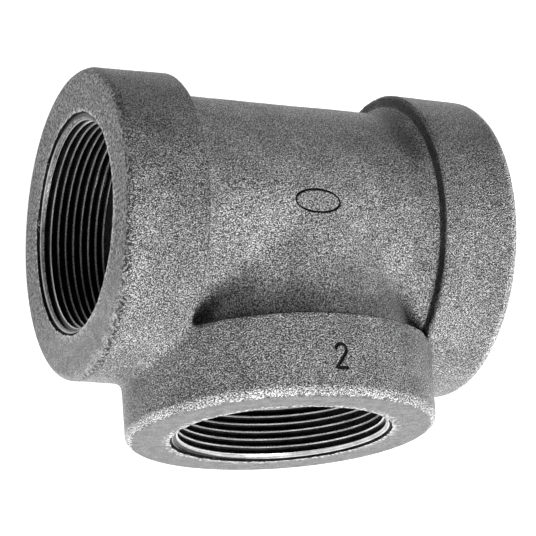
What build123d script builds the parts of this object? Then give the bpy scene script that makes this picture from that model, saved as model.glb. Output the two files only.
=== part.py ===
"""Straight pipe tee in cast iron, nominal size 2, with a tapered pipe thread in all three ports.

The run lies along X, the branch points along -Y and the three port axes cross at the origin.
In the names below "s" is the distance from the origin along a port's axis, and "r" the
distance out from that axis.
"""

import math
import os

from build123d import *

os.makedirs("parts", exist_ok=True)

# Pipe thread
threads_per_inch = 11.5
thread_pitch = 25.4 / threads_per_inch
thread_pitch_diameter = 58.325          # at the mouth face
thread_length = 19.05                   # mouth face to the inner end of the thread
thread_taper = 1 / 16                   # loss of diameter for each unit of length
thread_height = 0.8 * thread_pitch      # root to crest

# Casting
root_land = 0.85                        # metal left behind the thread roots at the mouth
wall = 6.5
band_rise = 5.6                         # the bands stand this far proud of the barrels
thread_inset = 7.2                      # wall of the crossing bore to the inner end of a thread
band_overlap = 2.25                     # a band starts this far inboard of its thread
band_draft = 0.8                        # degrees
rim_radius = 2.4                        # rounding of a band's outer rim
shoulder_run = 2.2                      # length of the sloping shoulder before it is rounded
shoulder_land = 1.2                     # top of the shoulder to the start of the band
shoulder_foot_radius = 4.0
shoulder_top_radius = 1.5
countersink_relief = 0.4                # the countersink is this much wider than the roots

# Sunken marks
mark_depth = 0.4                        # surface of the casting to the floor of a stroke
mark_floor = 0.6                        # thickness of the floor pieces
oval_stroke = 0.6
oval_length = 13.5
oval_width = 7.0
oval_x = -1.3
oval_y = -2.1
numeral_stroke = 0.8
numeral_height = 7.2
numeral_width = 3.8
numeral_x = -1.0
numeral_setback = 10.75                 # start of the band to the middle of the numeral
bowl_start = 165                        # degrees, where the numeral's round top begins
bowl_sweep = -200                       # degrees, clockwise

# Sizes that follow
mouth_root_radius = (thread_pitch_diameter + thread_height) / 2
mean_crest_radius = (thread_pitch_diameter - thread_height - thread_taper * thread_length / 2) / 2
countersink_radius = mouth_root_radius + countersink_relief
countersink_depth = countersink_radius - mean_crest_radius
cavity_radius = mouth_root_radius + root_land
barrel_radius = cavity_radius + wall
band_radius = barrel_radius + band_rise
thread_start = cavity_radius + thread_inset
centre_to_end = thread_start + thread_length
band_start = thread_start - band_overlap
shoulder_top = band_start - shoulder_land
shoulder_foot = shoulder_top - shoulder_run
mouth_band_radius = band_radius - (centre_to_end - band_start) * math.tan(math.radians(band_draft))

# Directions of the ports in the XY plane, in degrees
LEFT = 180
RIGHT = 0
BRANCH = -90


def port_axis(angle):
    """A port's axis, pointing out of its mouth."""
    return Axis((0, 0, 0), (math.cos(math.radians(angle)), math.sin(math.radians(angle)), 0))


def port_plane(angle):
    """The upright plane through a port's axis. Its local x is s and its local y is r."""
    outward = port_axis(angle).direction
    return Plane(origin=(0, 0, 0), x_dir=outward, z_dir=outward.cross(Vector(0, 0, 1)))


def barrel_section(angle):
    """Half section of a barrel's wall, from the origin to the start of the band."""
    with BuildSketch(port_plane(angle)) as section:
        with BuildLine():
            Polyline(
                (0, cavity_radius),
                (0, barrel_radius),
                (shoulder_foot, barrel_radius),
                (shoulder_top, band_radius),
                (band_start, band_radius),
                (band_start, cavity_radius),
                close=True,
            )
        make_face()
        foot = section.vertices().sort_by_distance((shoulder_foot, barrel_radius))[0]
        fillet(foot, radius=shoulder_foot_radius)
        top = section.vertices().sort_by_distance((shoulder_top, band_radius))[0]
        fillet(top, radius=shoulder_top_radius)
    return section.sketch


def band_section(angle):
    """Half section of a band's wall, from its start to the mouth face, with a round rim."""
    with BuildSketch(port_plane(angle)) as section:
        with BuildLine():
            Polyline(
                (band_start, cavity_radius),
                (band_start, band_radius),
                (centre_to_end, mouth_band_radius),
                (centre_to_end, cavity_radius),
                close=True,
            )
        make_face()
        rim = section.vertices().sort_by_distance((centre_to_end, mouth_band_radius))[0]
        fillet(rim, radius=rim_radius)
    return section.sketch


def thread_section(angle):
    """Half section of a threaded lining, bored to the mean crest radius and countersunk."""
    with BuildSketch(port_plane(angle)) as section:
        with BuildLine():
            Polyline(
                (thread_start, cavity_radius),
                (thread_start, mean_crest_radius),
                (centre_to_end - countersink_depth, mean_crest_radius),
                (centre_to_end, countersink_radius),
                (centre_to_end, cavity_radius),
                close=True,
            )
        make_face()
    return section.sketch


def band_layer(angle, outer_depth, inner_depth):
    """Half section of the layer between two depths below the outside of a band."""
    with BuildSketch(port_plane(angle)) as section:
        with BuildLine():
            Polyline(
                (band_start, band_radius - inner_depth),
                (band_start, band_radius - outer_depth),
                (centre_to_end, mouth_band_radius - outer_depth),
                (centre_to_end, mouth_band_radius - inner_depth),
                close=True,
            )
        make_face()
    return section.sketch


def barrel_layer(angle, outer_depth, inner_depth):
    """Half section of the layer between two depths below the outside of a barrel."""
    with BuildSketch(port_plane(angle)) as section:
        with BuildLine():
            Polyline(
                (0, barrel_radius - inner_depth),
                (0, barrel_radius - outer_depth),
                (shoulder_foot, barrel_radius - outer_depth),
                (shoulder_foot, barrel_radius - inner_depth),
                close=True,
            )
        make_face()
    return section.sketch


# The part of the plan that belongs to the branch. Run and branch have the same section, so
# they meet on the two upright planes at 45 degrees that bound this sector.
with BuildSketch(Plane.XY) as branch_sector:
    with BuildLine():
        Polyline(
            (0, 0),
            (2 * centre_to_end, -2 * centre_to_end),
            (-2 * centre_to_end, -2 * centre_to_end),
            close=True,
        )
    make_face()

# Strokes of the size numeral: a 2 on top of the branch band, upright with the branch nearest
bowl_radius = (numeral_width - numeral_stroke) / 2
half_height = (numeral_height - numeral_stroke) / 2
bowl_centre = Vector(0, half_height - bowl_radius)
bowl_end = bowl_centre + Vector(bowl_radius, 0).rotate(Axis.Z, bowl_start + bowl_sweep)
base_left = Vector(-bowl_radius, -half_height)
base_right = Vector(bowl_radius, -half_height)
bowl = CenterArc(bowl_centre, bowl_radius, bowl_start, bowl_sweep, mode=Mode.PRIVATE)
numeral_place = Vector(numeral_x, -band_start - numeral_setback)
with BuildSketch(Plane.XY) as numeral_strokes:
    with Locations(numeral_place):
        SlotArc(arc=bowl, height=numeral_stroke)
    for stroke_start, stroke_end in [(bowl_end, base_left), (base_left, base_right)]:
        stroke = stroke_end - stroke_start
        with Locations(numeral_place + (stroke_start + stroke_end) / 2):
            SlotCenterToCenter(
                center_separation=stroke.length,
                height=numeral_stroke,
                rotation=math.degrees(math.atan2(stroke.Y, stroke.X)),
            )

# Outline of the foundry mark: a plain oval on top, over the crossing of run and branch
with BuildSketch(Plane.XY) as oval_outline:
    with Locations((oval_x, oval_y)):
        Ellipse(oval_length / 2, oval_width / 2)
        Ellipse(oval_length / 2 - oval_stroke, oval_width / 2 - oval_stroke, mode=Mode.SUBTRACT)

# Recess for the numeral, cut through the outside of the branch band
numeral_recess_layer = band_layer(BRANCH, -mark_depth, mark_depth + mark_floor)
with BuildPart() as numeral_recess:
    revolve(profiles=numeral_recess_layer, axis=port_axis(BRANCH))
    extrude(to_extrude=numeral_strokes.sketch, amount=2 * band_radius, mode=Mode.INTERSECT)

# Recess for the oval, cut through the outside of both barrels
oval_recess_layers = {}
for arm in (LEFT, RIGHT, BRANCH):
    oval_recess_layers[arm] = barrel_layer(arm, -mark_depth, mark_depth + mark_floor)
with BuildPart() as run_oval_recess:
    revolve(profiles=oval_recess_layers[LEFT], axis=port_axis(LEFT))
    revolve(profiles=oval_recess_layers[RIGHT], axis=port_axis(RIGHT))
    extrude(to_extrude=oval_outline.sketch, amount=2 * band_radius, mode=Mode.INTERSECT)
with BuildPart() as branch_oval_recess:
    revolve(profiles=oval_recess_layers[BRANCH], axis=port_axis(BRANCH))
    extrude(to_extrude=oval_outline.sketch, amount=2 * band_radius, mode=Mode.INTERSECT)

# Run barrel: both arms of the run, less the sector of the branch
run_sections = [barrel_section(LEFT), barrel_section(RIGHT)]
with BuildPart() as run_barrel:
    revolve(profiles=run_sections[0], axis=port_axis(LEFT))
    revolve(profiles=run_sections[1], axis=port_axis(RIGHT))
    extrude(
        to_extrude=branch_sector.sketch,
        amount=2 * band_radius,
        both=True,
        mode=Mode.SUBTRACT,
    )
    add(run_oval_recess.part, mode=Mode.SUBTRACT)
run_barrel.part.label = "run_barrel"
export_step(run_barrel.part, "parts/run_barrel.step")

# Branch barrel: only what lies inside the sector of the branch
branch_section = barrel_section(BRANCH)
with BuildPart() as branch_barrel:
    revolve(profiles=branch_section, axis=port_axis(BRANCH))
    extrude(
        to_extrude=branch_sector.sketch,
        amount=2 * band_radius,
        both=True,
        mode=Mode.INTERSECT,
    )
    add(branch_oval_recess.part, mode=Mode.SUBTRACT)
branch_barrel.part.label = "branch_barrel"
export_step(branch_barrel.part, "parts/branch_barrel.step")

# Bands: the two on the run give way to the one on the branch where they meet in the crotches
band_arms = [
    ("left_band", LEFT, Mode.SUBTRACT),
    ("right_band", RIGHT, Mode.SUBTRACT),
    ("branch_band", BRANCH, Mode.INTERSECT),
]
for band_name, band_angle, sector_mode in band_arms:
    section_of_band = band_section(band_angle)
    with BuildPart() as band:
        revolve(profiles=section_of_band, axis=port_axis(band_angle))
        extrude(
            to_extrude=branch_sector.sketch,
            amount=2 * band_radius,
            both=True,
            mode=sector_mode,
        )
        if band_angle == BRANCH:
            add(numeral_recess.part, mode=Mode.SUBTRACT)
    band.part.label = band_name
    export_step(band.part, f"parts/{band_name}.step")

# Threaded linings of the three ports
thread_arms = [
    ("left_thread", LEFT),
    ("right_thread", RIGHT),
    ("branch_thread", BRANCH),
]
for thread_name, thread_angle in thread_arms:
    section_of_thread = thread_section(thread_angle)
    with BuildPart() as thread:
        revolve(profiles=section_of_thread, axis=port_axis(thread_angle))
    thread.part.label = thread_name
    export_step(thread.part, f"parts/{thread_name}.step")

# Size numeral: the floor of its strokes, filling the bottom of their recess
numeral_floor_layer = band_layer(BRANCH, mark_depth, mark_depth + mark_floor)
with BuildPart() as size_numeral:
    revolve(profiles=numeral_floor_layer, axis=port_axis(BRANCH))
    extrude(to_extrude=numeral_strokes.sketch, amount=2 * band_radius, mode=Mode.INTERSECT)
size_numeral.part.label = "size_numeral"
export_step(size_numeral.part, "parts/size_numeral.step")

# Foundry mark: the floor of the oval's stroke. Its branch side ends on the sector's two planes.
oval_floor_layers = {}
for arm in (LEFT, RIGHT, BRANCH):
    oval_floor_layers[arm] = barrel_layer(arm, mark_depth, mark_depth + mark_floor)
with BuildPart() as branch_oval_floor:
    revolve(profiles=oval_floor_layers[BRANCH], axis=port_axis(BRANCH))
    extrude(
        to_extrude=branch_sector.sketch,
        amount=2 * band_radius,
        both=True,
        mode=Mode.INTERSECT,
    )
with BuildPart() as foundry_mark:
    revolve(profiles=oval_floor_layers[LEFT], axis=port_axis(LEFT))
    revolve(profiles=oval_floor_layers[RIGHT], axis=port_axis(RIGHT))
    extrude(
        to_extrude=branch_sector.sketch,
        amount=2 * band_radius,
        both=True,
        mode=Mode.SUBTRACT,
    )
    add(branch_oval_floor.part)
    extrude(to_extrude=oval_outline.sketch, amount=2 * band_radius, mode=Mode.INTERSECT)
foundry_mark.part.label = "foundry_mark"
export_step(foundry_mark.part, "parts/foundry_mark.step")
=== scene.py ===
import math

import bmesh
import bpy
from mathutils import Matrix, Vector, noise


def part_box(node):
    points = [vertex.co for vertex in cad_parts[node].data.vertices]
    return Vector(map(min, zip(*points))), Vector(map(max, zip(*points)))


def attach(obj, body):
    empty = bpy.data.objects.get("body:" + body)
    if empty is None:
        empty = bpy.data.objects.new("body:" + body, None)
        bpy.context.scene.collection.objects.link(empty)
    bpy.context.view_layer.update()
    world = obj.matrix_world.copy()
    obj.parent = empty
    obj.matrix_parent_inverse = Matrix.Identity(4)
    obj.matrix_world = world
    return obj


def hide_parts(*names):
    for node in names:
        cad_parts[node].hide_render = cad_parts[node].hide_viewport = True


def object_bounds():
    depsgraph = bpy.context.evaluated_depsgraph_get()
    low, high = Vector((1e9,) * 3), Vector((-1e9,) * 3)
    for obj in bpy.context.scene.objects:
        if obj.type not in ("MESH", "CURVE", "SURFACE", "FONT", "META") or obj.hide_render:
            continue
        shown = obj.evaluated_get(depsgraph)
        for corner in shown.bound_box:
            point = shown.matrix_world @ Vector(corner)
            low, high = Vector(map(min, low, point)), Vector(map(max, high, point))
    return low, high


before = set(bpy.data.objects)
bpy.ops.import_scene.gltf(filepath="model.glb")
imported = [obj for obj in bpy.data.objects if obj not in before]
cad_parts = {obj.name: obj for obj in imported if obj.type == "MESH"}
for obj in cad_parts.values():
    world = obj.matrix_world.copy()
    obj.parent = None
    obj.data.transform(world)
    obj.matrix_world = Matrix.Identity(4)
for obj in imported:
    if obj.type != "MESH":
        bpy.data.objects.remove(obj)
cad_low, cad_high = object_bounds()

# Sizes read from the fixed frame, in metres
band_low, band_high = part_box("right_band")
lining_low, lining_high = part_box("right_thread")
band_start = band_low.x
face_at = band_high.x
band_radius = band_high.z - 0.00003
bore_radius = lining_high.z
thread_start = lining_low.x

# Sizes of the casting's details
wall = 0.0065
mouth_band_radius = band_radius - 0.0003
rim_round = 0.0024
shoulder_top = band_start - 0.0012
barrel_radius = bore_radius + wall
flare_start = shoulder_top - 0.0046
run_flare = [
    (flare_start + 0.0015, barrel_radius + 0.00025),
    (flare_start + 0.0028, barrel_radius + 0.0009),
    (flare_start + 0.0037, barrel_radius + 0.0018),
    (flare_start + 0.0042, barrel_radius + 0.0027),
]
branch_flare = [
    (shoulder_top - 0.0014, barrel_radius + 0.0002),
    (shoulder_top - 0.0008, barrel_radius + 0.0008),
    (shoulder_top - 0.0005, barrel_radius + 0.0018),
]
ring_sides = 192
mouth_sides = 480
skin_step = 0.0005
core_step = 0.0010
shoulder_round = 0.0005
valley_width = 0.0038
machined_low = 0.0021
machined_high = 0.0002
mark_low = [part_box(mark)[0] for mark in ("size_numeral", "foundry_mark")]
mark_high = [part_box(mark)[1] for mark in ("size_numeral", "foundry_mark")]

# Pipe thread
pitch = 0.0254 / 11.5
taper = 1 / 16
pitch_radius = 0.058325 / 2
thread_depth = 0.8 * pitch
crest_flat = 0.05 * pitch
countersink = 0.03045

X = Vector((1, 0, 0))
Y = Vector((0, 1, 0))
Z = Vector((0, 0, 1))


# ---------------------------------------------------------------- shop routines
def pick(*pieces):
    """Leaves only these pieces selected, with the first one active."""
    if bpy.context.object and bpy.context.object.mode != "OBJECT":
        bpy.ops.object.mode_set(mode="OBJECT")
    bpy.ops.object.select_all(action="DESELECT")
    for piece in pieces:
        piece.select_set(True)
    bpy.context.view_layer.objects.active = pieces[0]


def open_for_edit(piece, parts="FACE"):
    pick(piece)
    bpy.ops.object.mode_set(mode="EDIT")
    bpy.ops.mesh.select_mode(type=parts)
    bpy.ops.mesh.select_all(action="DESELECT")


def close_edit():
    bpy.ops.object.mode_set(mode="OBJECT")


def select_faces(piece, wanted):
    """Selects the faces whose middle and normal satisfy wanted(middle, normal)."""
    mesh = bmesh.from_edit_mesh(piece.data)
    for face in mesh.faces:
        face.select_set(bool(wanted(face.calc_center_median(), face.normal)))
    mesh.select_flush_mode()
    bmesh.update_edit_mesh(piece.data)


def select_edges(piece, wanted):
    """Selects the edges whose two ends both satisfy wanted(point)."""
    mesh = bmesh.from_edit_mesh(piece.data)
    for edge in mesh.edges:
        edge.select_set(all(wanted(point.co) for point in edge.verts))
    mesh.select_flush_mode()
    bmesh.update_edit_mesh(piece.data)


def settle(piece):
    """Puts the piece's turn, size and place into its mesh."""
    pick(piece)
    bpy.ops.object.transform_apply(location=True, rotation=True, scale=True)


def finish_with(piece, kind, **settings):
    """Adds one modifier, sets it and applies it."""
    pick(piece)
    modifier = piece.modifiers.new(kind.title(), kind)
    for name, value in settings.items():
        setattr(modifier, name, value)
    bpy.ops.object.modifier_apply(modifier=modifier.name)


def copy_of(piece, name):
    """A copy with its own mesh."""
    pick(piece)
    bpy.ops.object.duplicate(linked=False)
    twin = bpy.context.object
    twin.name = name
    twin.data.name = name
    return twin


def scrap(*pieces):
    for piece in pieces:
        bpy.data.objects.remove(piece, do_unlink=True)


def round_bar(name, radius, start, end, axis, sides=ring_sides):
    """A plain cylinder between two stations on a port's axis."""
    turn = {"X": (0, math.pi / 2, 0), "Y": (math.pi / 2, 0, 0)}[axis]
    middle = (start + end) / 2
    place = X * middle if axis == "X" else Y * middle
    bpy.ops.mesh.primitive_cylinder_add(
        vertices=sides,
        radius=radius,
        depth=abs(end - start),
        location=place,
        rotation=turn,
    )
    bar = bpy.context.object
    bar.name = name
    settle(bar)
    return bar


def draw_out(bar, outward, stations):
    """Extrudes one end of a bar through a list of (station, radius)."""
    open_for_edit(bar)
    reach = max(v.co.dot(outward) for v in bar.data.vertices)
    radius = barrel_radius
    select_faces(bar, lambda mid, n: n.dot(outward) > 0.99 and mid.dot(outward) > reach - 1e-6)
    for station, new_radius in stations:
        bpy.ops.mesh.extrude_region_move(
            TRANSFORM_OT_translate={"value": outward * (station - reach)}
        )
        grow = new_radius / radius
        across = [1 if abs(c) > 0.5 else grow for c in outward]
        bpy.ops.transform.resize(value=across, center_override=outward * station)
        reach = station
        radius = new_radius
    close_edit()


def round_ring(bar, outward, station, width, steps):
    """Rounds the ring of edges at one station along an arm."""
    open_for_edit(bar, "EDGE")
    select_edges(bar, lambda p: abs(p.dot(outward) - station) < 1e-5)
    bpy.ops.mesh.bevel(offset=width, offset_type="OFFSET", segments=steps, profile=0.5)
    close_edit()


def shape_arm(bar, outward, flare):
    """Gives one end of a bar its flare, shoulder and band, with their rounded edges."""
    draw_out(bar, outward, flare + [(shoulder_top, band_radius), (face_at, mouth_band_radius)])
    round_ring(bar, outward, face_at, rim_round, 6)
    round_ring(bar, outward, shoulder_top, shoulder_round, 3)


# ---------------------------------------------------------------- the casting, in one
def cast_tee():
    """The outside of the tee as one solid, without its bores."""
    run = round_bar("run_form", barrel_radius, -flare_start, flare_start, "X")
    shape_arm(run, X, run_flare)
    shape_arm(run, -X, run_flare)
    branch = round_bar("branch_form", barrel_radius, 0, -flare_start, "Y")
    shape_arm(branch, -Y, branch_flare)
    pick(run, branch)
    bpy.ops.object.join()
    tee = bpy.context.object
    tee.name = "casting"
    finish_with(tee, "REMESH", mode="VOXEL", voxel_size=skin_step)
    return tee


def weigh(piece, name, weight):
    """Makes a vertex group from weight(point), with values from 0 to 1."""
    group = piece.vertex_groups.new(name=name)
    for vertex in piece.data.vertices:
        value = weight(vertex.co)
        if value > 0.001:
            group.add([vertex.index], min(1.0, value), "REPLACE")
    return group


def valley_weight(point):
    """How near a point is to the valley between the run and the branch."""
    if point.y > 0:
        return 0
    gap = abs(abs(point.x) + point.y) / math.sqrt(2)
    far = abs(point.x)
    width = valley_width * min(1.0, far / 0.020)
    if width <= 0:
        return 0
    near = max(0.0, 1.0 - gap / width)
    return near * near * (3 - 2 * near)


def blend_valleys(tee):
    """Smooths the valleys between the run and the branch into fillets."""
    weigh(tee, "valley", valley_weight)
    finish_with(tee, "SMOOTH", factor=1.0, iterations=30, vertex_group="valley")


def near_mark(point):
    """How far inside the quiet ground round a mark a point is, from 0 to 1."""
    if point.z < 0.03:
        return 0
    near = 0
    for low, high in zip(mark_low, mark_high):
        beyond = max(low.x - point.x, point.x - high.x, low.y - point.y, point.y - high.y, 0)
        near = max(near, 1 - beyond / 0.003)
    return near


def machined_depth(point):
    """How far back from the face the facing cut reaches; it went deeper on one side."""
    if point.x > -band_start:
        return machined_high
    lean = min(1, max(0, (-0.015 - point.y) / 0.023))
    return machined_high + (machined_low - machined_high) * lean


def as_cast_weight(point):
    """Full on the sand-cast skin, fading out on the machined faces and round the marks."""
    along = max(abs(point.x), -point.y)
    skin = (face_at - machined_depth(point) - along) / 0.0012
    return min(1, max(0, skin)) * (1 - 0.85 * near_mark(point))


def parting_weight(point):
    """Full on the level where the two halves of the mould met."""
    along = max(abs(point.x), -point.y)
    skin = min(1, max(0, (face_at - 0.003 - along) / 0.001))
    return skin * max(0, 1 - abs(point.z) / 0.0006)


def roughen(piece, name, grain, height, group):
    """Raises and sinks the skin by a cloudy pattern whose lumps are about one grain across."""
    pattern = bpy.data.textures.new(name, "CLOUDS")
    pattern.noise_scale = grain
    pattern.noise_depth = 2
    finish_with(
        piece,
        "DISPLACE",
        texture=pattern,
        texture_coords="LOCAL",
        strength=height,
        mid_level=0.75,
        vertex_group=group,
    )


def core():
    """The sand core that leaves the bores: a cross bar through the run and one to the branch."""
    past = face_at + 0.004
    run_core = round_bar("core", bore_radius, -past, past, "X")
    branch_core = round_bar("branch_core", bore_radius, 0, -past, "Y")
    pick(run_core, branch_core)
    bpy.ops.object.join()
    bar = bpy.context.object
    finish_with(bar, "REMESH", mode="VOXEL", voxel_size=core_step)
    inner = thread_start - 0.0015
    weigh(bar, "cored", lambda p: (inner - max(abs(p.x), -p.y)) / 0.001)
    roughen(bar, "core sand", 0.004, 0.0006, "cored")
    return bar


def cut_away(piece, tool):
    finish_with(piece, "BOOLEAN", operation="DIFFERENCE", object=tool, solver="EXACT")


def stroke_cutter(node_name):
    """A cutter over a mark's strokes: the floor piece with its top raised above the skin."""
    cutter = copy_of(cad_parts[node_name], node_name + "_cutter")
    cutter.parent = None
    open_for_edit(cutter)
    bpy.ops.mesh.select_all(action="SELECT")
    bpy.ops.mesh.remove_doubles(threshold=1e-7)
    select_faces(cutter, lambda mid, n: n.z > 0.9)
    bpy.ops.transform.translate(value=(0, 0, 0.002))
    bpy.ops.mesh.select_all(action="SELECT")
    bpy.ops.mesh.normals_make_consistent(inside=False)
    bpy.ops.transform.shrink_fatten(value=0.00008)
    close_edit()
    return cutter


def keep_behind(piece, point, normal):
    """Saws the piece along a plane, drops what lies ahead of it and closes the cut."""
    open_for_edit(piece)
    bpy.ops.mesh.select_all(action="SELECT")
    bpy.ops.mesh.bisect(plane_co=point, plane_no=normal, clear_outer=True)
    bpy.ops.mesh.select_mode(type="EDGE")
    bpy.ops.mesh.select_all(action="DESELECT")
    bpy.ops.mesh.select_non_manifold(
        use_wire=False, use_multi_face=False, use_non_contiguous=False, use_verts=False
    )
    sawn_edges = [edge for edge in bmesh.from_edit_mesh(piece.data).edges if edge.select]
    if sawn_edges:
        bpy.ops.mesh.fill(use_beauty=False)
    bpy.ops.mesh.select_all(action="SELECT")
    bpy.ops.mesh.normals_make_consistent(inside=False)
    close_edit()


def smooth(piece):
    pick(piece)
    bpy.ops.object.shade_smooth_by_angle(angle=math.radians(40))


def keep_shading(piece, whole):
    """Shades a piece as it was shaded in the whole casting, so that no seam shows."""
    finish_with(
        piece,
        "DATA_TRANSFER",
        object=whole,
        use_loop_data=True,
        data_types_loops={"CUSTOM_NORMAL"},
        loop_mapping="POLYINTERP_NEAREST",
        use_max_distance=True,
        max_distance=0.00005,
    )


def cut_pieces(tee):
    """Saws the casting into its two barrels and three bands, with mitres between the arms."""
    centre = Vector((0, 0, 0))
    left_mitre = (centre, (Y - X).normalized())
    right_mitre = (centre, (Y + X).normalized())
    cuts = {
        "left_band_skin": [(-X * band_start, X), (centre, (X - Y).normalized())],
        "right_band_skin": [(X * band_start, -X), (centre, (-X - Y).normalized())],
        "branch_band_skin": [(-Y * band_start, Y), left_mitre, right_mitre],
        "branch_barrel_skin": [(-Y * band_start, -Y), left_mitre, right_mitre],
        "run_barrel_skin": [(X * band_start, X), (-X * band_start, -X)],
    }
    pieces = {}
    for name, planes in cuts.items():
        piece = copy_of(tee, name)
        for point, normal in planes:
            keep_behind(piece, point, normal)
        pieces[name] = piece
    wedge_size = 0.2
    bpy.ops.mesh.primitive_cube_add(size=wedge_size, location=(0, -0.1 * math.sqrt(2), 0))
    wedge = bpy.context.object
    wedge.rotation_euler = (0, 0, math.pi / 4)
    settle(wedge)
    cut_away(pieces["run_barrel_skin"], wedge)
    scrap(wedge)
    for piece in pieces.values():
        smooth(piece)
        keep_shading(piece, tee)
    scrap(tee)
    return pieces


# ---------------------------------------------------------------- the threads
def wire(name, outline):
    """A chain of edges through (station, radius) points, drawn by extruding one corner."""
    bpy.ops.mesh.primitive_plane_add(size=0.001)
    form = bpy.context.object
    form.name = name
    open_for_edit(form, "VERT")
    bpy.ops.mesh.select_all(action="SELECT")
    bpy.ops.mesh.merge(type="CENTER")
    bpy.ops.transform.translate(value=(outline[0][0], 0, outline[0][1]))
    for (s0, r0), (s1, r1) in zip(outline, outline[1:]):
        bpy.ops.mesh.extrude_region_move(
            TRANSFORM_OT_translate={"value": (s1 - s0, 0, r1 - r0)}
        )
    close_edit()
    return form


def turn_round(form, steps, turns=1, advance=0.0):
    """Turns a wire about the port's axis, as on a lathe or, with an advance, as a screw."""
    finish_with(
        form,
        "SCREW",
        axis="X",
        angle=2 * math.pi,
        screw_offset=advance,
        iterations=turns,
        steps=steps,
        render_steps=steps,
        use_merge_vertices=True,
        merge_threshold=1e-6,
    )


def close_up(form, cuts=()):
    """Merges doubles, saws the ends off square and turns the faces outwards."""
    open_for_edit(form)
    bpy.ops.mesh.select_all(action="SELECT")
    bpy.ops.mesh.remove_doubles(threshold=1e-6)
    for point, normal in cuts:
        bpy.ops.mesh.select_all(action="SELECT")
        bpy.ops.mesh.bisect(plane_co=point, plane_no=normal, use_fill=True, clear_outer=True)
    bpy.ops.mesh.select_all(action="SELECT")
    bpy.ops.mesh.normals_make_consistent(inside=False)
    close_edit()


def tap():
    """A tapered tap: its outside is the form of the thread that it cuts."""
    crest = pitch_radius - thread_depth / 2
    root = pitch_radius + thread_depth / 2
    flank = (pitch - 2 * crest_flat) / 2
    first = thread_start - 2 * pitch
    form = wire(
        "tap",
        [
            (first, crest),
            (first + crest_flat, crest),
            (first + crest_flat + flank, root),
            (first + 2 * crest_flat + flank, root),
            (first + pitch, crest),
        ],
    )
    turn_round(form, 120, turns=12, advance=pitch)
    base = pitch_radius - face_at * taper / 2
    for vertex in form.data.vertices:
        scale = (base + vertex.co.x * taper / 2) / pitch_radius
        vertex.co.y *= scale
        vertex.co.z *= scale
    close_up(form, [(X * (thread_start - 0.0006), -X), (X * (face_at + 0.0010), X)])
    return form


def mouth_tool():
    """Opens the mouth: an undercut just inside the face, then a ridge that slopes inwards."""
    edge = countersink
    form = wire(
        "mouth_tool",
        [
            (face_at + 0.0010, 0),
            (face_at + 0.0010, edge),
            (face_at, edge),
            (face_at - 0.00095, edge - 0.00005),
            (face_at - 0.00095, edge - 0.00033),
            (face_at - 0.00072, edge - 0.00047),
            (face_at - 0.00062, edge - 0.00067),
            (face_at - 0.00075, edge - 0.00095),
            (face_at - 0.00125, edge - 0.00145),
            (face_at - 0.00250, edge - 0.00270),
            (face_at - 0.00250, 0),
        ],
    )
    turn_round(form, mouth_sides)
    close_up(form)
    return form


def ragged_mouth(piece, outward, torn=None):
    """Tears the edge of the face round a mouth, and more so along one stretch."""
    for vertex in piece.data.vertices:
        spot = vertex.co
        depth = face_at - spot.dot(outward)
        across = spot - outward * spot.dot(outward)
        out = across.length
        if abs(out - countersink) > 0.0001 or depth > 0.0010:
            continue
        grow = 0.00030 * noise.noise(spot * 300) + 0.00026 * noise.noise(spot * 1100)
        if torn:
            middle, width, more = torn
            gap = across.normalized().dot(middle)
            if gap > width:
                grow += more
        if depth > 0.0001:
            grow = max(0, grow)
        vertex.co = outward * spot.dot(outward) + across * (1 + grow / out)


def threaded_lining():
    """The metal round one port with its thread cut and its mouth opened, on the +X arm."""
    lining = round_bar("right_thread_cut", bore_radius, thread_start, face_at, "X", mouth_sides)
    cutter = tap()
    opener = mouth_tool()
    cut_away(lining, cutter)
    cut_away(lining, opener)
    scrap(cutter, opener)
    return lining


def turned_copy(piece, name, start, angle):
    """A copy of a thread, advanced by a part of a pitch and turned to face its port."""
    twin = copy_of(piece, name)
    twin.rotation_euler = (-2 * math.pi * start, 0, 0)
    settle(twin)
    twin.rotation_euler = (0, 0, angle)
    settle(twin)
    return twin


# Where each thread starts, as a part of a pitch, and the stretch of the left mouth that is torn
left_thread_start = 0.57
branch_thread_start = 0.34
torn_middle = Vector((0, -0.30, -0.954))
torn_reach = 0.78
torn_depth = 0.00028

casting = cast_tee()
blend_valleys(casting)
weigh(casting, "as cast", as_cast_weight)
roughen(casting, "broad lumps", 0.009, 0.00030, "as cast")
roughen(casting, "sand lumps", 0.0022, 0.00007, "as cast")
weigh(casting, "parting", parting_weight)
finish_with(casting, "DISPLACE", strength=0.00010, mid_level=0, vertex_group="parting")
core_bar = core()
cut_away(casting, core_bar)
for mark in ("size_numeral", "foundry_mark"):
    cutter = stroke_cutter(mark)
    cut_away(casting, cutter)
    scrap(cutter)
scrap(core_bar)
smooth(casting)
skins = cut_pieces(casting)

right_cut = threaded_lining()
smooth(right_cut)
left_cut = turned_copy(right_cut, "left_thread_cut", left_thread_start, math.pi)
branch_cut = turned_copy(right_cut, "branch_thread_cut", branch_thread_start, -math.pi / 2)
ragged_mouth(right_cut, X)
ragged_mouth(left_cut, -X, (torn_middle, torn_reach, torn_depth))
ragged_mouth(branch_cut, -Y)


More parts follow.
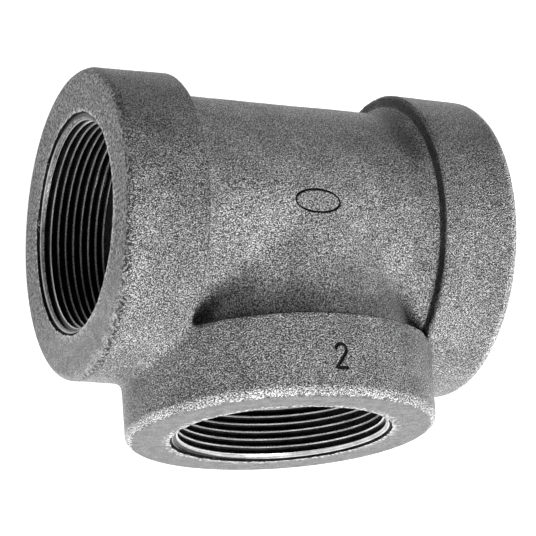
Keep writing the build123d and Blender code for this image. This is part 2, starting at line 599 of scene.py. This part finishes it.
# ---------------------------------------------------------------- finishes
class Recipe:
    """A material's nodes, wired one after another."""

    def __init__(self, name):
        self.material = bpy.data.materials.new(name)
        self.material.use_nodes = True
        self.tree = self.material.node_tree
        self.shader = self.tree.nodes["Principled BSDF"]
        self.place = self.add("ShaderNodeTexCoord").outputs["Object"]

    def add(self, kind, **settings):
        made = self.tree.nodes.new(kind)
        for name, value in settings.items():
            setattr(made, name, value)
        return made

    def feed(self, socket, source):
        if isinstance(source, (int, float)):
            socket.default_value = source
        elif isinstance(source, tuple):
            socket.default_value = source
        else:
            self.tree.links.new(source, socket)

    def sum(self, operation, *terms):
        made = self.add("ShaderNodeMath", operation=operation)
        for socket, term in zip(made.inputs, terms):
            self.feed(socket, term)
        return made.outputs[0]

    def ramp(self, value, low, high, out_low=0.0, out_high=1.0, smooth=True):
        made = self.add("ShaderNodeMapRange")
        made.interpolation_type = "SMOOTHSTEP" if smooth else "LINEAR"
        self.feed(made.inputs["Value"], value)
        self.feed(made.inputs["From Min"], low)
        self.feed(made.inputs["From Max"], high)
        self.feed(made.inputs["To Min"], out_low)
        self.feed(made.inputs["To Max"], out_high)
        return made.outputs["Result"]

    def grain(self, size, detail=2.0, shift=0.0):
        """A cloudy pattern with features of one size, in metres."""
        made = self.add("ShaderNodeTexNoise")
        moved = self.add("ShaderNodeVectorMath", operation="ADD")
        self.feed(moved.inputs[0], self.place)
        moved.inputs[1].default_value = (shift, shift, shift)
        self.feed(made.inputs["Vector"], moved.outputs[0])
        made.inputs["Scale"].default_value = 1 / size
        made.inputs["Detail"].default_value = detail
        made.inputs["Roughness"].default_value = 0.5
        return made.outputs["Fac"]

    def turned(self, along, out, size):
        """Fine rings left by a turning tool."""
        rings = self.add("ShaderNodeCombineXYZ")
        self.feed(rings.inputs[0], along)
        self.feed(rings.inputs[1], out)
        made = self.add("ShaderNodeTexNoise")
        self.tree.links.new(rings.outputs[0], made.inputs["Vector"])
        made.inputs["Scale"].default_value = 1 / size
        made.inputs["Detail"].default_value = 1.0
        return made.outputs["Fac"]

    def grey(self, value):
        made = self.add("ShaderNodeCombineColor")
        for socket in made.inputs[:3]:
            self.feed(socket, value)
        return made.outputs[0]

    def bump(self, height, distance, under=None):
        made = self.add("ShaderNodeBump")
        made.inputs["Strength"].default_value = 1.0
        made.inputs["Distance"].default_value = distance
        self.feed(made.inputs["Height"], height)
        if under is not None:
            self.feed(made.inputs["Normal"], under)
        return made.outputs["Normal"]

    def arm(self):
        """The distance along the nearest arm's axis and the distance out from it."""
        parts = self.add("ShaderNodeSeparateXYZ")
        self.feed(parts.inputs[0], self.place)
        side = self.sum("ABSOLUTE", parts.outputs["X"])
        front = self.sum("MULTIPLY", parts.outputs["Y"], -1.0)
        along = self.sum("MAXIMUM", side, front)
        across = self.sum("MINIMUM", side, front)
        flat = self.sum("MULTIPLY", across, across)
        upright = self.sum("MULTIPLY", parts.outputs["Z"], parts.outputs["Z"])
        out = self.sum("SQRT", self.sum("ADD", flat, upright))
        return along, out, parts

    def mixed(self, share, low, high):
        """Goes from one value to another as the share goes from 0 to 1."""
        made = self.add("ShaderNodeMix", data_type="FLOAT")
        self.feed(made.inputs[0], share)
        self.feed(made.inputs[2], low)
        self.feed(made.inputs[3], high)
        return made.outputs[0]

    def between(self, value, low, high):
        """1 where a value lies between two limits."""
        above = self.sum("GREATER_THAN", value, low)
        below = self.sum("LESS_THAN", value, high)
        return self.sum("MULTIPLY", above, below)


# Greys, from black at 0 to white at 1
# Painted shade in the pits along the left rim
pit_shade_tone = 0.02
# Painted shade inside the bores past the threads
cored_shade_tone = 0.012
# Painted shade in the sunken strokes
stroke_shade_tone = 0.006
# Painted shade for the blow hole
hole_shade_tone = 0.002
# Torn metal, lightened partly as painted highlight
torn_highlight_tone = 0.30
torn_edge_highlight_tone = 0.34

# The middle of the blow hole at the edge of the left mouth
blow_hole = (("X", -face_at), ("Y", 0.81 * 0.0303), ("Z", -0.59 * 0.0303))


def crevice_shade_share(mix, parts, along):
    """1 deep in the two pockets where the shoulders meet, where the colour is darkened as painted shade.
    """
    side = mix.sum("ABSOLUTE", parts.outputs["X"])
    gap = mix.sum("ABSOLUTE", mix.sum("ADD", side, parts.outputs["Y"]))
    close = mix.ramp(gap, 0.0090, 0.0010)
    near = mix.ramp(along, flare_start - 0.010, shoulder_top - 0.003)
    short = mix.ramp(along, shoulder_top + 0.0006, shoulder_top - 0.0002)
    return mix.sum("MULTIPLY", close, mix.sum("MULTIPLY", near, short))


def step_shade_share(mix, along, out):
    """1 on the steep steps up to the bands, where the colour is darkened as painted shade."""
    high = mix.ramp(along, shoulder_top + 0.00005, shoulder_top - 0.00015)
    low = mix.ramp(along, shoulder_top - 0.0008, shoulder_top - 0.0005)
    proud = mix.ramp(out, barrel_radius + 0.0012, barrel_radius + 0.0024)
    top = mix.ramp(out, band_radius - 0.0003, band_radius - 0.0009)
    return mix.sum("MULTIPLY", mix.sum("MULTIPLY", high, low), mix.sum("MULTIPLY", proud, top))


def edge_shade_line_share(mix, along, out, parts):
    """1 on the thin line of painted shade along the inner edge of the left band and of the branch band.
    """
    on_edge = mix.between(along, shoulder_top - 0.0002, shoulder_top + 0.00040)
    proud = mix.ramp(out, band_radius - 0.0020, band_radius - 0.0012)
    right_arm = mix.sum("GREATER_THAN", mix.sum("ADD", parts.outputs["X"], parts.outputs["Y"]), 0.0)
    here = mix.sum("SUBTRACT", 1.0, right_arm)
    return mix.sum("MULTIPLY", mix.sum("MULTIPLY", on_edge, proud), here)


def stroke_shade_share(mix, parts):
    """1 on the walls and floor of the sunken marks, which are darkened as painted shade."""
    side2 = mix.sum("MULTIPLY", parts.outputs["X"], parts.outputs["X"])
    front2 = mix.sum("MULTIPLY", parts.outputs["Y"], parts.outputs["Y"])
    up2 = mix.sum("MULTIPLY", parts.outputs["Z"], parts.outputs["Z"])
    run_out = mix.sum("SQRT", mix.sum("ADD", front2, up2))
    branch_out = mix.sum("SQRT", mix.sum("ADD", side2, up2))
    shares = []
    for low, high, skin in zip(mark_low, mark_high, (band_radius - 0.00015, barrel_radius)):
        inside = mix.sum(
            "MULTIPLY",
            mix.between(parts.outputs["X"], low.x - 0.0002, high.x + 0.0002),
            mix.between(parts.outputs["Y"], low.y - 0.0002, high.y + 0.0002),
        )
        top = mix.sum("MULTIPLY", inside, mix.sum("GREATER_THAN", parts.outputs["Z"], 0.03))
        if skin > barrel_radius:
            depth = mix.sum("SUBTRACT", skin, branch_out)
        else:
            depth = mix.sum("SUBTRACT", skin, mix.sum("MAXIMUM", run_out, branch_out))
        shares.append(mix.sum("MULTIPLY", top, mix.ramp(depth, 0.00014, 0.00020)))
    return mix.sum("MAXIMUM", *shares)


def cut_face_tone(mix, on_left):
    """The grey of a cut face, with fine grain and broader marks; it is a little lighter on the left one
    and darker on the others, which is painted light and shade.
    """
    cut_grain = mix.grain(0.00045, 3.0, shift=5.0)
    scratch = mix.grain(0.0028, 4.0, shift=2.0)
    tone = mix.sum(
        "MULTIPLY", mix.ramp(cut_grain, 0.35, 0.65, 0.045, 0.170), mix.ramp(scratch, 0.3, 0.7, 0.75, 1.3)
    )
    # Painted light and shade: the left face lighter, the others darker
    return mix.sum("MULTIPLY", tone, mix.mixed(on_left, 0.66, 1.15))


def torn_highlight_share(mix, out):
    """1 where the face is torn up and lightened as painted highlight, which is more often close to the
    mouth.
    """
    near = mix.ramp(out, bore_radius + 0.0024, bore_radius, smooth=False)
    torn = mix.sum("MULTIPLY_ADD", near, 0.20, mix.grain(0.0010, 3.0, shift=9.0))
    return mix.sum("MULTIPLY", mix.ramp(torn, 0.64, 0.74), mix.sum("GREATER_THAN", near, 0.0))


def blow_hole_shade_share(mix, parts):
    """1 in the one blow hole at the edge of the left mouth, which is not cut and is only a painted shade
    spot.
    """
    gaps = []
    for axis, middle in blow_hole:
        gap = mix.sum("SUBTRACT", parts.outputs[axis], middle)
        gaps.append(mix.sum("MULTIPLY", gap, gap))
    reach = mix.sum("SQRT", mix.sum("ADD", mix.sum("ADD", gaps[0], gaps[1]), gaps[2]))
    return mix.ramp(reach, 0.0011, 0.0008)


def cast_skin():
    """Sand-cast grey iron: grainy and speckled, with painted shade at the steps, band edges, pockets,
    pits, bores and marks, painted highlights on the rims and torn edges, and smooth cut faces.
    """
    mix = Recipe("sand-cast iron")
    along, out, parts = mix.arm()
    fine = mix.grain(0.00034, 1.0)
    glint = mix.grain(0.00050, 0.0, shift=3.1)
    coarse = mix.grain(0.0012, 2.0)
    cloud = mix.grain(0.012, 3.0)
    lumps = mix.grain(0.0035, 2.0)
    ragged = mix.sum("SUBTRACT", mix.grain(0.0011, 3.0, shift=7.7), 0.5)
    side = mix.sum("MULTIPLY", parts.outputs["X"], -1.0)
    on_left = mix.sum("GREATER_THAN", mix.sum("ADD", side, parts.outputs["Y"]), 0.0)
    lean = mix.ramp(
        parts.outputs["Y"], -0.015, -0.038, machined_high, machined_low, smooth=False
    )
    reach = mix.mixed(on_left, machined_high, lean)
    limit = mix.sum("SUBTRACT", face_at, reach)
    edge = mix.sum("SUBTRACT", mix.sum("MULTIPLY_ADD", ragged, 0.0016, along), limit)
    flat_face = mix.ramp(along, face_at - 0.00012, face_at - 0.00004)
    machined = mix.sum("MAXIMUM", mix.ramp(edge, -0.00012, 0.00012), flat_face)
    near_edge = mix.ramp(mix.sum("ABSOLUTE", edge), 0.0016, 0.0002)
    pitted = mix.ramp(mix.grain(0.0009, 3.0, shift=1.3), 0.52, 0.58)
    pits = mix.sum("MULTIPLY", mix.sum("MULTIPLY", near_edge, pitted), on_left)
    past_thread = mix.sum("LESS_THAN", along, face_at - 0.002)
    in_bore = mix.ramp(out, bore_radius + 0.0010, bore_radius + 0.0006)
    cored = mix.sum("MULTIPLY", in_bore, past_thread)
    strokes = stroke_shade_share(mix, parts)

    speckle = mix.sum("POWER", mix.ramp(fine, 0.35, 0.67, 0.14, 0.64, smooth=False), 2.0)
    tone = mix.sum("MULTIPLY", speckle, mix.ramp(cloud, 0.3, 0.7, 0.82, 1.18))
    # Painted light and shade: the barrel lighter and the bands darker, by distance from the axis
    painted_light_by_height = mix.ramp(out, barrel_radius + 0.001, band_radius - 0.001, 1.12, 0.80)
    tone = mix.sum("MULTIPLY", tone, painted_light_by_height)
    # Painted shade: darker in the pockets where the shoulders meet
    tone = mix.sum("MULTIPLY", tone, mix.mixed(crevice_shade_share(mix, parts, along), 1.0, 0.85))
    # Painted shade: much darker on the steep steps up to the bands
    tone = mix.sum("MULTIPLY", tone, mix.mixed(step_shade_share(mix, along, out), 1.0, 0.15))
    # Painted shade: a thin dark line along the inner edge of the left band and of the branch band
    tone = mix.sum("MULTIPLY", tone, mix.mixed(edge_shade_line_share(mix, along, out, parts), 1.0, 0.35))
    cut_tone = cut_face_tone(mix, on_left)
    # Torn metal on the faces, lightened partly as painted highlight
    cut_tone = mix.mixed(torn_highlight_share(mix, out), cut_tone, torn_highlight_tone)
    shade = mix.mixed(machined, tone, cut_tone)
    # Painted highlight: the rounded rim next to the right and branch faces is lightened
    rim = mix.ramp(along, face_at - 0.0030, face_at - 0.0020)
    rim = mix.sum("MULTIPLY", rim, mix.sum("SUBTRACT", 1.0, on_left))
    painted_highlight_term = mix.mixed(rim, 1.0, 1.70)
    shade = mix.sum("MULTIPLY", shade, mix.mixed(machined, painted_highlight_term, 1.0))
    # Real pits on the left rim, darkened as painted shade
    shade = mix.mixed(pits, shade, pit_shade_tone)
    # Painted shade: the bores past the threads made near black
    shade = mix.mixed(cored, shade, cored_shade_tone)
    # Painted shade: the walls and floor of the sunken marks made near black
    shade = mix.mixed(strokes, shade, stroke_shade_tone)
    mix.feed(mix.shader.inputs["Base Color"], mix.grey(shade))
    cast_roughness = mix.ramp(glint, 0.35, 0.65, 0.50, 0.30)
    mix.feed(mix.shader.inputs["Roughness"], mix.mixed(machined, cast_roughness, 0.42))
    mix.feed(mix.shader.inputs["Metallic"], mix.mixed(strokes, 0.22, 0.0))
    wave = mix.bump(lumps, 0.0002)
    deep = mix.bump(coarse, 0.00008, under=wave)
    height = mix.sum("MULTIPLY", fine, mix.mixed(machined, 1.0, 0.22))
    sunk = mix.sum("SUBTRACT", height, mix.sum("MULTIPLY", pits, 0.6))
    mix.feed(mix.shader.inputs["Normal"], mix.bump(sunk, 0.00060, under=deep))
    mix.shader.inputs["Specular IOR Level"].default_value = 0.12
    return mix.material


def cut_thread():
    """Dark grooves of painted shade, crests and a ridge lightened as painted highlights, and the same
    cut face as the bands.
    """
    mix = Recipe("cut thread")
    along, out, parts = mix.arm()
    mouth_crest = pitch_radius - thread_depth / 2
    crest_here = mix.sum("MULTIPLY_ADD", along, taper / 2, mouth_crest - face_at * taper / 2)
    below = mix.sum("SUBTRACT", out, crest_here)
    streak = mix.grain(0.0030, 3.0)
    fine = mix.grain(0.0005, 2.0)
    painted_highlight_term = mix.sum("MULTIPLY_ADD", mix.sum("SUBTRACT", streak, 0.5), 0.0003, below)
    # Painted highlight: the thread crests
    crest = mix.ramp(painted_highlight_term, 0.00050, 0.00016)
    side = mix.sum("MULTIPLY", parts.outputs["X"], -1.0)
    on_left = mix.sum("GREATER_THAN", mix.sum("ADD", side, parts.outputs["Y"]), 0.0)
    slope = mix.sum("SUBTRACT", out, along)
    at_cone = countersink - 0.00020 - face_at
    # Painted highlight: the ridge inside the mouth, weaker on the left port and broken by chatter in its
    # middle there
    ridge = mix.ramp(slope, at_cone + 0.00026, at_cone + 0.00010)
    ridge = mix.sum("MULTIPLY", ridge, mix.ramp(along, face_at - 0.0026, face_at - 0.0022))
    face = mix.ramp(along, face_at - 0.00004, face_at - 0.00002)
    middle = mix.sum(
        "MULTIPLY",
        mix.ramp(along, face_at - 0.0021, face_at - 0.0018),
        mix.ramp(along, face_at - 0.0008, face_at - 0.0011),
    )
    chatter = mix.ramp(mix.grain(0.0006, 2.0, shift=4.0), 0.42, 0.60, 0.10, 0.45)
    worn_middle = mix.sum("MULTIPLY", middle, on_left)
    ridge = mix.sum("MULTIPLY", ridge, mix.mixed(worn_middle, mix.mixed(on_left, 0.44, 0.56), chatter))
    bright = mix.sum("MAXIMUM", crest, ridge)
    rings = mix.turned(along, out, 0.00016)
    # Painted shade in the grooves and painted highlight on the crests and ridge, stronger on the right
    # and branch ports
    groove_shade_tone = mix.ramp(streak, 0.3, 0.7, 0.003, 0.010)
    thread_highlight_tone = mix.sum(
        "MULTIPLY", mix.ramp(rings, 0.35, 0.65, 0.18, 0.60), mix.ramp(streak, 0.3, 0.7, 0.75, 1.15)
    )
    thread_highlight_tone = mix.sum("MULTIPLY", thread_highlight_tone, mix.mixed(on_left, 1.25, 0.90))
    tone = mix.mixed(bright, groove_shade_tone, thread_highlight_tone)
    # Torn edge of the face, lightened partly as painted highlight
    cut_tone = mix.mixed(torn_highlight_share(mix, out), cut_face_tone(mix, on_left), torn_edge_highlight_tone)
    # Painted shade: a near-black spot for the blow hole
    hole = blow_hole_shade_share(mix, parts)
    tone = mix.mixed(hole, tone, hole_shade_tone)
    cut_tone = mix.mixed(hole, cut_tone, hole_shade_tone)
    mix.feed(mix.shader.inputs["Base Color"], mix.grey(mix.mixed(face, tone, cut_tone)))
    mix.feed(mix.shader.inputs["Metallic"], mix.mixed(face, mix.sum("MULTIPLY", bright, 0.7), 0.45))
    mix.feed(
        mix.shader.inputs["Roughness"], mix.mixed(face, mix.ramp(fine, 0.3, 0.7, 0.24, 0.34), 0.42)
    )
    rough = mix.sum("MULTIPLY", mix.grain(0.00045, 3.0, shift=5.0), mix.mixed(face, 0.2, 1.0))
    mix.feed(mix.shader.inputs["Normal"], mix.bump(rough, 0.00010))
    mix.shader.inputs["Specular IOR Level"].default_value = 0.15
    return mix.material


def stroke_floor_shade():
    """The floor of the sunken strokes, painted black as shade."""
    mix = Recipe("black stroke floor")
    fine = mix.grain(0.0004, 2.0)
    mix.feed(mix.shader.inputs["Base Color"], mix.grey(mix.ramp(fine, 0.3, 0.7, 0.004, 0.02)))
    mix.shader.inputs["Roughness"].default_value = 0.8
    mix.shader.inputs["Specular IOR Level"].default_value = 0.05
    mix.feed(mix.shader.inputs["Normal"], mix.bump(fine, 0.0001))
    return mix.material


def dress(piece, material):
    piece.data.materials.clear()
    piece.data.materials.append(material)
    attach(piece, "root")


skin_finish = cast_skin()
thread_finish = cut_thread()
stroke_shade_finish = stroke_floor_shade()
for name, piece in skins.items():
    dress(piece, skin_finish)
    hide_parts(name.replace("_skin", ""))
for piece, node_name in (
    (right_cut, "right_thread"),
    (left_cut, "left_thread"),
    (branch_cut, "branch_thread"),
):
    dress(piece, thread_finish)
    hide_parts(node_name)
# The stroke floors get the painted shade finish
for mark in ("size_numeral", "foundry_mark"):
    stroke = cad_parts[mark]
    for place in stroke.material_slots:
        place.material = stroke_shade_finish

# ---------------------------------------------------------------- floor, light, camera
def lay_floor():
    bpy.ops.mesh.primitive_plane_add(size=6, location=(0, 0, cad_low.z))
    floor = bpy.context.object
    floor.name = "floor"
    paper = bpy.data.materials.new("white paper")
    paper.use_nodes = True
    shader = paper.node_tree.nodes["Principled BSDF"]
    shader.inputs["Base Color"].default_value = (0.4, 0.4, 0.4, 1)
    shader.inputs["Roughness"].default_value = 0.9
    shader.inputs["Emission Color"].default_value = (1, 1, 1, 1)
    shader.inputs["Emission Strength"].default_value = 0.93
    floor.data.materials.append(paper)


def hang_light(name, direction, distance, size, power):
    """A square soft box that faces the middle of the tee."""
    bpy.ops.object.light_add(type="AREA", location=direction.normalized() * distance)
    lamp = bpy.context.object
    lamp.name = name
    lamp.data.shape = "SQUARE"
    lamp.data.size = size
    lamp.data.energy = power
    lamp.rotation_euler = direction.to_track_quat("Z", "Y").to_euler()
    return lamp


def set_camera():
    azimuth = math.radians(-53.26)
    elevation = math.radians(59.67)
    roll = math.radians(52.9)
    aim = Vector((0.0010, -0.0082, -0.0024))
    distance = 0.6836
    bpy.ops.object.camera_add()
    camera = bpy.context.object
    camera.data.sensor_width = 36
    camera.data.lens = 163.8
    camera.data.clip_start = 0.01
    back = Vector(
        (
            math.cos(elevation) * math.sin(azimuth),
            -math.cos(elevation) * math.cos(azimuth),
            math.sin(elevation),
        )
    )
    right = Vector((math.cos(azimuth), math.sin(azimuth), 0))
    up = back.cross(right)
    turned_right = right * math.cos(roll) + up * math.sin(roll)
    turned_up = back.cross(turned_right)
    turn = Matrix((turned_right, turned_up, back)).transposed().to_4x4()
    camera.matrix_world = Matrix.Translation(aim + back * distance) @ turn
    bpy.context.scene.camera = camera


def set_world():
    world = bpy.data.worlds.new("studio")
    bpy.context.scene.world = world
    world.use_nodes = True
    sky = world.node_tree.nodes["Background"]
    sky.inputs["Color"].default_value = (1, 1, 1, 1)
    sky.inputs["Strength"].default_value = 0.2


lay_floor()
set_world()
hang_light("front soft box", Vector((0.03, -0.90, 0.46)), distance=1.2, size=0.5, power=34)
hang_light("left soft box", Vector((-0.80, -0.42, 0.02)), distance=0.8, size=0.4, power=7)
hang_light("right soft box", Vector((0.85, -0.15, 0.60)), distance=0.8, size=0.4, power=6)
set_camera()
bpy.context.scene.view_settings.view_transform = "Standard"
